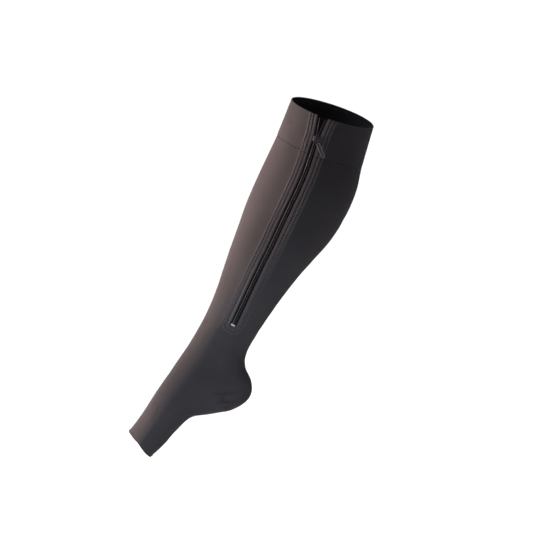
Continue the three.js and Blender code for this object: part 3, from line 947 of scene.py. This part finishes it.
class Nodes:
    """A short hand for building a material's node tree."""

    def __init__(self, name):
        self.material = bpy.data.materials.new(name)
        self.material.use_nodes = True
        self.tree = self.material.node_tree

    def feed(self, node, inputs):
        for key, value in inputs.items():
            if isinstance(value, bpy.types.NodeSocket):
                self.tree.links.new(value, node.inputs[key])
            else:
                node.inputs[key].default_value = value

    def add(self, kind, inputs=None, **settings):
        node = self.tree.nodes.new(kind)
        for key, value in settings.items():
            setattr(node, key, value)
        self.feed(node, inputs or {})
        return node.outputs

    def math(self, operation, a, b=0.0, c=0.0):
        return self.add("ShaderNodeMath", {0: a, 1: b, 2: c}, operation=operation)[0]

    def attribute(self, name):
        return self.add("ShaderNodeAttribute", attribute_name=name)["Fac"]

    def cloth(self):
        """The cloth map's two lengths, round and down, in millimetres."""
        place = self.add("ShaderNodeUVMap", uv_map="cloth")["UV"]
        split = self.add("ShaderNodeSeparateXYZ", {0: place})
        return split["X"], split["Y"]

    def noise(self, scale, detail=3.0, roughness=0.55):
        place = self.add("ShaderNodeTexCoord")["Object"]
        inputs = {"Vector": place, "Scale": scale, "Detail": detail, "Roughness": roughness}
        return self.add("ShaderNodeTexNoise", inputs)["Fac"]

    def mix(self, share, first, second):
        return self.add("ShaderNodeMix", {0: share, 6: first, 7: second}, data_type="RGBA")[2]

    def bump(self, height, strength, distance, onto=None):
        inputs = {"Height": height, "Strength": strength, "Distance": distance}
        if onto is not None:
            inputs["Normal"] = onto
        return self.add("ShaderNodeBump", inputs)["Normal"]

    def finish(self, **inputs):
        """Feeds the shader and gives the material. An input's name has _ in place of each space."""
        named = {key.replace("_", " "): value for key, value in inputs.items()}
        self.feed(self.tree.nodes["Principled BSDF"], named)
        return self.material


WALE = 1.0  # width of one column of knit stitches
COURSE = 0.8  # height of one row of them


def knit_height(nodes):
    """Columns of V-shaped stitches, from the cloth map."""
    around, down = nodes.cloth()
    column = nodes.math("DIVIDE", around, WALE)
    off_middle = nodes.math("ABSOLUTE", nodes.math("SUBTRACT", nodes.math("FRACT", column), 0.5))
    rise = nodes.math("MULTIPLY_ADD", off_middle, -1.1, nodes.math("DIVIDE", down, COURSE))
    loop = nodes.math("SINE", nodes.math("MULTIPLY", rise, 2 * math.pi))
    legs = nodes.math("SINE", nodes.math("MULTIPLY", off_middle, 2 * math.pi))
    loop = nodes.math("MULTIPLY_ADD", loop, 0.35, 0.65)
    return nodes.math("MULTIPLY", loop, legs)


def knit_material(name, light, dark, lift):
    """Dense knit: charcoal, with slow and fine changes of tone and a deeper tone on the heel pocket; painted
    shade in the sewn rows' grooves and the creases' troughs, and a painted highlight on the hem's ridges.
    """
    nodes = Nodes(name)
    stitches = knit_height(nodes)
    slow = nodes.noise(14.0, 2.0)
    fine = nodes.noise(420.0, 4.0, 0.7)
    tone = nodes.math("MULTIPLY_ADD", slow, 0.7, nodes.math("MULTIPLY", fine, 0.5))
    tone = nodes.math("MULTIPLY_ADD", stitches, 0.35, nodes.math("SUBTRACT", tone, 0.25))
    colour = nodes.mix(tone, dark, light)
    _, down = nodes.cloth()
    pucker = nodes.math("SINE", nodes.math("MULTIPLY", down, 2 * math.pi / STITCH_PITCH))
    # Painted highlight: the hem's raised ridges are made lighter in colour, standing in for the light they
    # catch.
    ridge_painted_highlight = nodes.math("MULTIPLY", nodes.attribute("ridge"), 0.35)
    colour = nodes.mix(ridge_painted_highlight, colour, tuple(share * light[1] for share in (2.1, 2.0, 2.2)) + (1,))
    # Painted shade: the cloth is darker in the sewn rows' grooves, pulsing with the stitches.
    shade = nodes.math("MULTIPLY", nodes.attribute("sewn"), nodes.math("MULTIPLY_ADD", pucker, 0.2, 0.7))
    colour = nodes.mix(shade, colour, tuple(0.25 * v for v in dark[:3]) + (1,))
    heel = nodes.math("MULTIPLY", nodes.attribute("heel"), 0.5)
    colour = nodes.mix(heel, colour, (dark[0] * 1.45, dark[1] * 1.1, dark[2] * 1.3, 1))
    # Painted shade: the creases' troughs are darker.
    crease_shade = nodes.math("MULTIPLY", nodes.attribute("crease_shade"), 0.5)
    colour = nodes.mix(crease_shade, colour, tuple(0.4 * v for v in dark[:3]) + (1,))
    pucker = nodes.math("MULTIPLY", pucker, nodes.attribute("sewn"))
    normal = nodes.bump(stitches, 0.55, 0.00022)
    normal = nodes.bump(pucker, 0.6, 0.0003, normal)
    normal = nodes.bump(nodes.noise(90.0, 3.0), 0.25, 0.0004, normal)
    return nodes.finish(
        Base_Color=colour,
        Normal=normal,
        Roughness=0.95,
        Sheen_Weight=lift,
        Sheen_Roughness=0.45,
        Sheen_Tint=(1.0, 0.80, 0.76, 1),
        Specular_IOR_Level=0.08,
    )


def tape_material(name, light, dark):
    """Woven twill tape: fine slanting ribs."""
    nodes = Nodes(name)
    around, down = nodes.cloth()
    column = nodes.math("FRACT", nodes.math("DIVIDE", around, 2.4))
    zigzag = nodes.math("ABSOLUTE", nodes.math("SUBTRACT", column, 0.5))
    slant = nodes.math("MULTIPLY_ADD", zigzag, 2.6, nodes.math("DIVIDE", down, 0.7))
    rib = nodes.math("SINE", nodes.math("MULTIPLY", slant, 2 * math.pi))
    rib = nodes.math("MULTIPLY_ADD", rib, 0.5, 0.5)
    tone = nodes.math("MULTIPLY_ADD", rib, 0.5, nodes.math("MULTIPLY", nodes.noise(300.0), 0.5))
    normal = nodes.bump(rib, 0.6, 0.00015)
    colour = nodes.mix(tone, dark, light)
    return nodes.finish(Base_Color=colour, Normal=normal, Roughness=0.8, Specular_IOR_Level=0.04)


def thread_material(name, colour, deep):
    """Twisted thread: fine slanting plies and a soft gloss."""
    nodes = Nodes(name)
    plies = nodes.noise(1500.0, 2.0)
    normal = nodes.bump(plies, 0.4, 0.00006)
    colour = nodes.mix(plies, deep, colour)
    return nodes.finish(Base_Color=colour, Normal=normal, Roughness=0.6, Specular_IOR_Level=0.25)


def nylon_material(name, colour, deep):
    nodes = Nodes(name)
    tone = nodes.noise(700.0, 3.0)
    normal = nodes.bump(tone, 0.15, 0.00004)
    rough = nodes.math("MULTIPLY_ADD", tone, 0.2, 0.3)
    colour = nodes.mix(tone, deep, colour)
    return nodes.finish(Base_Color=colour, Normal=normal, Roughness=rough, Specular_IOR_Level=0.05)


def metal_material(name, colour, worn, metallic, roughness):
    """Enamelled or bare pressed metal: a fine cast grain and slightly brighter, worn patches."""
    nodes = Nodes(name)
    grain = nodes.noise(900.0, 4.0, 0.7)
    patches = nodes.noise(160.0, 3.0)
    wear = nodes.math("MULTIPLY", nodes.math("GREATER_THAN", patches, 0.62), 0.35)
    normal = nodes.bump(grain, 0.18, 0.00005)
    rough = nodes.math("MULTIPLY_ADD", grain, 0.22, roughness - 0.1)
    colour = nodes.mix(wear, colour, worn)
    metal = {"Metallic": metallic, "Specular_IOR_Level": 0.3}
    return nodes.finish(Base_Color=colour, Normal=normal, Roughness=rough, **metal)


def paint(obj, material, slot, body, *nodes):
    obj.data.materials.append(material)
    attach(obj, body)
    if nodes:
        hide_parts(*nodes)
    return obj


# Build

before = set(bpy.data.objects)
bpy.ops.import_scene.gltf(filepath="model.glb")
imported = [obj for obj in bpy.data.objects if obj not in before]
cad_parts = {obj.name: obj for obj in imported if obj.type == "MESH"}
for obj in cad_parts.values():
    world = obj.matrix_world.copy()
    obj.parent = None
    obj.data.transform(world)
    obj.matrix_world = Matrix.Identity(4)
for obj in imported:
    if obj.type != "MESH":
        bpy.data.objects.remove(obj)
cad_low, cad_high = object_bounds()

knit = knit_material("dense_knit", (0.0276, 0.0258, 0.0299, 1), (0.0119, 0.0110, 0.0133, 1), 0.012)
band_knit = knit_material("band_knit", (0.0283, 0.0264, 0.0303, 1), (0.0123, 0.0112, 0.0136, 1), 0.012)
black_tape = tape_material("black_tape", (0.006, 0.0055, 0.0065, 1), (0.002, 0.002, 0.0025, 1))
guard_cloth = tape_material("guard_cloth", (0.005, 0.0045, 0.0055, 1), (0.002, 0.0015, 0.002, 1))
hem_thread = thread_material("hem_thread", (0.13, 0.122, 0.128, 1), (0.06, 0.056, 0.059, 1))
seam_thread = thread_material("seam_thread", (0.05, 0.043, 0.045, 1), (0.03, 0.026, 0.028, 1))
# The coil threads' two colours are lit and shaded copies of one thread: a darker painted-shaded copy here for
# the back coil, and a lighter painted-lit copy below for the front coil.
shaded_coil_thread = thread_material("shaded_coil_thread", (0.055, 0.052, 0.056, 1), (0.025, 0.024, 0.026, 1))
coil_thread = thread_material("coil_thread", (0.20, 0.19, 0.20, 1), (0.10, 0.095, 0.10, 1))
nylon = nylon_material("black_nylon", (0.004, 0.0037, 0.0045, 1), (0.0015, 0.0015, 0.002, 1))
enamel = metal_material("black_enamel", (0.022, 0.0225, 0.029, 1), (0.15, 0.155, 0.175, 1), 0.7, 0.26)
# Painted highlight: a lighter metal for the pull tab's raised rim, standing in for the light along its edges.
tab_rim_painted_highlight = metal_material("tab_rim_painted_highlight", (0.125, 0.122, 0.145, 1), (0.20, 0.195, 0.22, 1), 0.7, 0.36)
tin = metal_material("bright_stop", (0.22, 0.215, 0.22, 1), (0.15, 0.145, 0.15, 1), 0.6, 0.48)

leg = paint(knit_leg(), knit, "knit", "stocking", "leg", "foot")
band = paint(knit_band(), band_knit, "band", "stocking", "top_band")
paint(sewn_rows(), hem_thread, "knit", "stocking")
paint(band_stitches(), seam_thread, "band", "stocking")

tape_end = SLIT_END + TAPE_BELOW_SLIT
for side, label in ((-1, "front"), (1, "back")):
    reach = sorted((side * TAPE_INNER, side * TAPE_OUTER))
    tape = strip("tape_" + label, tape_end, reach, TAPE_FACE, TAPE_THICKNESS, side)
    paint(tape, black_tape, "tape", "stocking", "zip_tape_" + label)
    paint(zip_coil(side, label), nylon, "coil", "stocking", "zip_coil_" + label)
    # The front coil's thread gets the painted-lit copy and the back coil's the painted-shaded copy; the
    # thread itself is the same on both.
    paint(coil_threads(side, label), coil_thread if side < 0 else shaded_coil_thread, "coil", "stocking")
guard_end = SLIT_END + GUARD_BELOW_SLIT
guard = strip("guard_strip", guard_end, (-GUARD_HALF, GUARD_HALF), GUARD_FACE, GUARD_THICKNESS, 0)
paint(guard, guard_cloth, "tape", "stocking", "zip_guard")

on_slider = zip_frame(SLIDER_AT)
on_ring = turned_frame(on_slider, swivel=RING_SWIVEL, shift=(0, 0, RING_HEIGHT))
on_tab = turned_frame(on_ring, shift=(0, -RING_LENGTH, 0), droop=TAB_DROOP)
on_stop = zip_frame(place_at(SLIT_END - STOP_ABOVE_SLIT_END - STOP_ALONG / 2))
paint(slider_piece(on_slider), enamel, "slider", "stocking", "zip_slider")
paint(ring_piece(on_ring), enamel, "slider", "ring", "pull_ring")
paint(tab_piece(on_tab), enamel, "slider", "tab", "pull_tab")
# The tab's rim takes the lighter metal, a painted highlight along its edges.
paint(rim_of(tab_plan(), 0.6, on_tab), tab_rim_painted_highlight, "slider", "tab")
paint(stop_piece(on_stop), tin, "stop", "stocking", "zip_stop")


# Floor, light and camera


def look_at(obj, target):
    obj.rotation_euler = (Vector(target) - obj.location).to_track_quat("-Z", "Y").to_euler()


def area_light(name, location, aim, size, power, spread, colour):
    light = bpy.data.lights.new(name, "AREA")
    light.shape = "RECTANGLE"
    light.size, light.size_y = size
    light.energy = power
    light.spread = math.radians(spread)
    light.color = colour
    obj = in_scene(name, light)
    obj.location = location
    look_at(obj, aim)


def place_camera():
    """The camera is aimed at the photograph's centre, counted from where it shows the rim's centre."""
    camera = bpy.data.cameras.new("camera")
    camera.sensor_width = SENSOR
    camera.lens = CAMERA_DISTANCE / MM_PER_PIXEL * SENSOR / PHOTO_SIDE
    obj = in_scene("camera", camera)
    across = (ORIGIN_IN_PHOTO[0] - PHOTO_SIDE / 2) * MM_PER_PIXEL
    up = (PHOTO_SIDE / 2 - ORIGIN_IN_PHOTO[1]) * MM_PER_PIXEL / math.cos(CAMERA_ELEVATION)
    target = Vector((-across * MM, 0, -up * MM))
    away = Vector((0, -math.cos(CAMERA_ELEVATION), math.sin(CAMERA_ELEVATION)))
    obj.location = target + away * CAMERA_DISTANCE * MM
    look_at(obj, target)
    bpy.context.scene.camera = obj


def pale_floor(height):
    mesh = bpy.data.meshes.new("floor")
    corners = [(x * FLOOR_REACH, y * FLOOR_REACH, height) for x, y in box_outline(-1, 1, -1, 1)]
    mesh.from_pydata(corners, [], [(0, 1, 2, 3)])
    obj = in_scene("floor", mesh)
    nodes = Nodes("pale_floor")
    colour = nodes.mix(nodes.noise(3.0, 2.0), (0.86, 0.86, 0.87, 1), (0.90, 0.90, 0.90, 1))
    obj.data.materials.append(nodes.finish(Base_Color=colour, Roughness=0.9))


place_camera()
pale_floor(cad_low[2] - FLOOR_BELOW)
for name, settings in LIGHTS.items():
    area_light(name, *settings)
world = bpy.data.worlds.new("studio")
world.use_nodes = True
background = world.node_tree.nodes["Background"]
background.inputs["Color"].default_value = WORLD_COLOUR
background.inputs["Strength"].default_value = WORLD_STRENGTH
bpy.context.scene.world = world
bpy.context.scene.view_settings.view_transform = "Standard"
